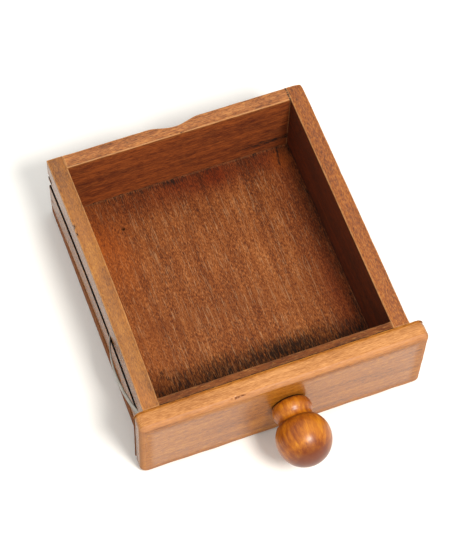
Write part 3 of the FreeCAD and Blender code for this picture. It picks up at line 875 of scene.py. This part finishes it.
def leafPath():
    # seen from above: pinned foot, rear and front halves of the bow, then a small curl at the free end
    s = leafLook
    floorX = grooveFloor - s["thick"] / 2
    footX = floorX - s["seat"]
    crown = Vector((lowLeaf.x + s["thick"] / 2, s["crownY"]))
    rear = crown + Vector((s["rearRadius"], 0))
    front = crown + Vector((s["frontRadius"], 0))
    reach = s["rearRadius"] + s["footRadius"]
    foot = Vector((footX - s["footRadius"], 0))
    foot.y = s["crownY"] + math.sqrt(reach ** 2 - (rear.x - foot.x) ** 2)
    curlReach = s["frontRadius"] + s["tipRadius"]
    lean = math.acos((front.x - floorX + s["tipPlay"] + s["tipRadius"]) / curlReach)
    curl = front + Vector((-math.cos(lean), -math.sin(lean))) * curlReach
    bowStart = math.atan2(foot.y - rear.y, foot.x - rear.x)
    points = [Vector((footX, foot.y + s["footLength"] * (1 - i / 6))) for i in range(6)]

    def arc(centre, radius, first, last, count):
        return [
            centre + Vector((math.cos(t), math.sin(t))) * radius
            for t in (first + (last - first) * i / count for i in range(count + 1))
        ]

    points += arc(foot, s["footRadius"], 0.0, bowStart - math.pi, 8)
    points += arc(rear, s["rearRadius"], bowStart, math.pi, 22)[1:]
    points += arc(front, s["frontRadius"], math.pi, math.pi + lean, 22)[1:]
    points += arc(curl, s["tipRadius"], lean, -math.radians(s["tipAngle"]), 8)[1:]
    return points


def stripTree():
    # a strip swept along a path: rounded rectangle profile, ends closed
    tree, given = newNodeTree("steelStrip", ("Thickness", "Width", "Edge Round"))
    upright = addNode(tree, "GeometryNodeSetCurveNormal", {0: given["Geometry"]}, mode="Z_UP")
    section = addNode(
        tree, "GeometryNodeCurvePrimitiveQuadrilateral",
        {"Width": given["Thickness"], "Height": given["Width"]},
    )
    rounded = addNode(
        tree, "GeometryNodeFilletCurve", {"Curve": section, "Count": 3, "Radius": given["Edge Round"]},
        mode="POLY",
    )
    strip = addNode(
        tree, "GeometryNodeCurveToMesh", {"Curve": upright, "Profile Curve": rounded, "Fill Caps": True}
    )
    finishTree(tree, strip, given["Finish"])
    return tree


path = leafPath()
leafCurve = bpy.data.curves.new("leafPath", "CURVE")
leafCurve.dimensions = "3D"
spline = leafCurve.splines.new("POLY")
spline.points.add(len(path) - 1)
for dot, p in zip(spline.points, path):
    dot.co = (p.x * mm, p.y * mm, (lowLeaf.z + highLeaf.z) / 2 * mm, 1)
leafStrip = growPiece("leafStrip", addObject("leafBase", leafCurve), stripTree(), {
    "Thickness": leafLook["thick"] * mm, "Width": (highLeaf.z - lowLeaf.z) * mm,
    "Edge Round": leafLook["edgeRound"] * mm, "Finish": stripSteel,
})
settle(leafStrip, "drawer", stripSteel, "spring_steel", "leaf_spring")
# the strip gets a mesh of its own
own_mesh(leafStrip)

lowTack, highTack = boxInMm("spring_tack")
tackLook = {"head": 1.3, "headDepth": 0.45, "shank": 0.6, "point": 1.0, "turns": 32, "wobble": 0.03}
tackLength = highTack.x - lowTack.x
tackStart = (lowTack.x, (lowTack.y + highTack.y) / 2, (lowTack.z + highTack.z) / 2)
tackOutline = [(0.0, 0.0), (0.02, 0.45), (0.09, 0.85), (0.22, 1.15), (0.36, tackLook["head"])]
tackOutline += [(tackLook["headDepth"], 1.26), (tackLook["headDepth"], tackLook["shank"])]
tackOutline += [(tackLength - tackLook["point"], tackLook["shank"]), (tackLength, 0.0)]
bm = bmesh.new()
lathe(bm, tackStart, (1, 0, 0), tackOutline, tackLook["turns"], tackLook["wobble"])
tack = meshPiece("springTack", bm, 50)
settle(tack, "drawer", screwSteel, "screw_steel", "spring_tack")


def screwTree():
    # cuts the driver's slot across the head and winds the thread round the root
    tree, given = newNodeTree(
        "woodScrew", ("Slot Width", "Slot Depth", "Head Radius", "Turns", "Pitch", "Thread Radius", "Ridge"),
        ("Thread Start", "Head Centre"),
    )
    wide = addNode(tree, "ShaderNodeMath", {0: given["Head Radius"], 1: 3.0}, operation="MULTIPLY")
    deep = addNode(tree, "ShaderNodeMath", {0: given["Slot Depth"], 1: 2.0}, operation="MULTIPLY")
    size = addNode(tree, "ShaderNodeCombineXYZ", {0: wide, 1: deep, 2: given["Slot Width"]})
    bar = addNode(tree, "GeometryNodeMeshCube", {"Size": size})
    placed = addNode(tree, "GeometryNodeTransform", {"Geometry": bar, "Translation": given["Head Centre"]})
    slotted = addNode(
        tree, "GeometryNodeMeshBoolean", {0: given["Geometry"], 1: placed}, operation="DIFFERENCE"
    )
    height = addNode(tree, "ShaderNodeMath", {0: given["Turns"], 1: given["Pitch"]}, operation="MULTIPLY")
    helix = addNode(
        tree, "GeometryNodeCurveSpiral",
        {
            "Resolution": 36, "Rotations": given["Turns"], "Start Radius": given["Thread Radius"],
            "End Radius": given["Thread Radius"], "Height": height,
        },
    )
    ridge = addNode(tree, "GeometryNodeCurvePrimitiveCircle", {"Resolution": 4, "Radius": given["Ridge"]})
    thread = addNode(
        tree, "GeometryNodeCurveToMesh", {"Curve": helix, "Profile Curve": ridge, "Fill Caps": True}
    )
    laid = addNode(
        tree, "GeometryNodeTransform",
        {"Geometry": thread, "Translation": given["Thread Start"], "Rotation": (math.pi / 2, 0, 0)},
    )
    both = addNode(tree, "GeometryNodeJoinGeometry")
    tree.links.new(laid.outputs[0], both.inputs[0])
    tree.links.new(slotted.outputs[0], both.inputs[0])
    finishTree(tree, both, given["Finish"])
    return tree


s = screwLook
rootEnd = s["length"] - s["tip"]
screwOutline = [
    (0.0, 0.0), (0.0, s["headRadius"] - 0.12), (0.1, s["headRadius"]), (0.25, s["headRadius"] - 0.1),
    (s["headDepth"], s["shank"]), (s["threadFrom"] - 0.8, s["shank"]), (s["threadFrom"], s["root"]),
    (rootEnd, s["root"]), (s["length"] - 0.2, 0.2), (s["length"], 0.0),
]
bm = bmesh.new()
lathe(bm, screwHead, (0, -1, 0), screwOutline, 40)
turns = (rootEnd - s["threadFrom"]) / s["pitch"]
knobScrew = growPiece("knobScrew", meshPiece("screwCore", bm), screwTree(), {
    "Slot Width": s["slotWidth"] * mm, "Slot Depth": s["slotDepth"] * mm, "Head Radius": s["headRadius"] * mm,
    "Turns": turns, "Pitch": s["pitch"] * mm, "Thread Radius": (s["shank"] - s["ridge"]) * mm,
    "Ridge": s["ridge"] * mm,
    "Thread Start": (screwHead - Vector((0, s["threadFrom"], 0))) * mm, "Head Centre": screwHead * mm,
    "Finish": screwSteel,
})
settle(knobScrew, "drawer", screwSteel, "screw_steel", "knob_screw")


def pinTree():
    # one headed pin on every point, turned along the point's own direction
    tree, given = newNodeTree(
        "panelPins", ("Length", "Shank Radius", "Head Radius", "Head Depth", "Point Length")
    )
    rod = addNode(
        tree, "GeometryNodeMeshCylinder",
        {"Vertices": 14, "Side Segments": 40, "Radius": 1.0, "Depth": given["Length"]},
    )
    spot = addNode(tree, "ShaderNodeSeparateXYZ", {0: addNode(tree, "GeometryNodeInputPosition")})
    half = addNode(tree, "ShaderNodeMath", {0: given["Length"], 1: 0.5}, operation="MULTIPLY")
    along = addNode(tree, "ShaderNodeMath", {0: spot.outputs[2], 1: half}, operation="ADD")
    neck = addNode(tree, "ShaderNodeMath", {0: given["Head Depth"], 1: 1.6}, operation="MULTIPLY")
    stem = addNode(tree, "ShaderNodeMapRange", {
        "Value": along, "From Min": given["Head Depth"], "From Max": neck,
        "To Min": given["Head Radius"], "To Max": given["Shank Radius"],
    })
    shoulder = addNode(
        tree, "ShaderNodeMath", {0: given["Length"], 1: given["Point Length"]}, operation="SUBTRACT"
    )
    sharp = addNode(tree, "ShaderNodeMapRange", {
        "Value": along, "From Min": shoulder, "From Max": given["Length"], "To Min": 1.0, "To Max": 0.08,
    })
    radius = addNode(tree, "ShaderNodeMath", {0: stem, 1: sharp}, operation="MULTIPLY")
    across, up = (
        addNode(tree, "ShaderNodeMath", {0: spot.outputs[i], 1: radius}, operation="MULTIPLY") for i in (0, 1)
    )
    where = addNode(tree, "ShaderNodeCombineXYZ", {0: across, 1: up, 2: along})
    pin = addNode(tree, "GeometryNodeSetPosition", {"Geometry": rod, "Position": where})
    aim = addNode(tree, "GeometryNodeInputNamedAttribute", {"Name": "aim"}, data_type="FLOAT_VECTOR")
    turned = addNode(tree, "FunctionNodeAlignRotationToVector", {"Vector": aim}, axis="Z")
    pins = addNode(
        tree, "GeometryNodeInstanceOnPoints",
        {"Points": given["Geometry"], "Instance": pin, "Rotation": turned},
    )
    finishTree(tree, pins, given["Finish"])
    return tree


pinLook = {"length": 14.0, "shank": 0.5, "head": 0.75, "headDepth": 0.6, "point": 1.5}
pinNodes = pinTree()


def makePins(name, node, starts, direction):
    bm = bmesh.new()
    aim = bm.verts.layers.float_vector.new("aim")
    for start in starts:
        bm.verts.new(Vector(start) * mm)[aim] = Vector(direction)
    mesh = bpy.data.meshes.new(name + "Points")
    bm.to_mesh(mesh)
    bm.free()
    pins = growPiece(name, addObject(name + "Points", mesh), pinNodes, {
        "Length": pinLook["length"] * mm, "Shank Radius": pinLook["shank"] * mm,
        "Head Radius": pinLook["head"] * mm, "Head Depth": pinLook["headDepth"] * mm,
        "Point Length": pinLook["point"] * mm, "Finish": screwSteel,
    })
    settle(pins, "drawer", screwSteel, "screw_steel", node)


sunk = pit["depth"]
makePins("leftBackPins", "left_back_pins", [
    (lowSide.x + sunk, backMiddle, backPinZ[0]),
    (lowSide.x + leftWall["notchDepth"] + sunk, backMiddle, backPinZ[1]),
], (1, 0, 0))
makePins("rightBackPins", "right_back_pins", [
    (highRight.x - sunk, backMiddle, z) for z in backPinZ
], (-1, 0, 0))
makePins("bottomBoardPins", "bottom_pins", [(x, y, lowBottom.z + sunk) for x, y in bottomPins], (0, 0, 1))
print("spring, tack, screw and pins made")


# the camera stands in millimetres and degrees, the window in metres
viewpoint = {
    "place": (-134.5, -321.13, 693.75), "turn": 23.129, "down": 63.0, "roll": 3.066, "lens": 134.49,
}
window = {
    "place": (0.155, -0.50, 0.83), "target": (0, 0, 0.01), "width": 0.26, "power": 9.0, "colour": "#fffaf2",
}
room = {"colour": "#fffdf9", "level": 0.56, "overhead": 1.42}
paper = {"colour": "#eaeae8", "rough": 0.9, "half": 2500}


def makeCamera():
    v = viewpoint
    data = bpy.data.cameras.new("camera")
    data.lens = v["lens"]
    data.sensor_width = 36
    camera = addObject("camera", data)
    turn = Matrix.Rotation(math.radians(-v["turn"]), 4, "Z")
    tilt = Matrix.Rotation(math.radians(90 - v["down"]), 4, "X")
    roll = Matrix.Rotation(math.radians(v["roll"]), 4, "Z")
    camera.matrix_world = Matrix.Translation(Vector(v["place"]) * mm) @ turn @ tilt @ roll
    bpy.context.scene.camera = camera


def makeWindow():
    data = bpy.data.lights.new("windowRight", "AREA")
    data.shape = "DISK"
    data.size = window["width"]
    data.energy = window["power"]
    data.color = hexColour(window["colour"])[:3]
    light = addObject("windowRight", data)
    light.location = window["place"]
    aim = Vector(window["target"]) - Vector(window["place"])
    light.rotation_euler = aim.to_track_quat("-Z", "Y").to_euler()


def makeGround():
    bm = bmesh.new()
    bmesh.ops.create_grid(bm, x_segments=1, y_segments=1, size=paper["half"])
    ground = meshPiece("paperGround", bm)
    material = bpy.data.materials.new("paperGround")
    material.use_nodes = True
    shader = material.node_tree.nodes["Principled BSDF"]
    shader.inputs["Base Color"].default_value = hexColour(paper["colour"])
    shader.inputs["Roughness"].default_value = paper["rough"]
    ground.data.materials.append(material)


def makeWorld():
    # a white room that is brightest overhead
    world = bpy.data.worlds.new("studio")
    world.use_nodes = True
    tree = world.node_tree
    background = tree.nodes["Background"]
    background.inputs["Color"].default_value = hexColour(room["colour"])
    sky = addNode(tree, "ShaderNodeTexCoord").outputs["Generated"]
    height = addNode(tree, "ShaderNodeSeparateXYZ", {0: sky}).outputs[2]
    overhead = addNode(tree, "ShaderNodeMath", {0: height, 1: height}, operation="MULTIPLY")
    glow = addNode(
        tree, "ShaderNodeMapRange", {"Value": overhead, "To Min": room["level"], "To Max": room["overhead"]}
    )
    tree.links.new(glow.outputs[0], background.inputs["Strength"])
    bpy.context.scene.world = world


makeCamera()
makeGround()
makeWorld()
makeWindow()
bpy.context.scene.view_settings.view_transform = "Standard"
print("surroundings made")
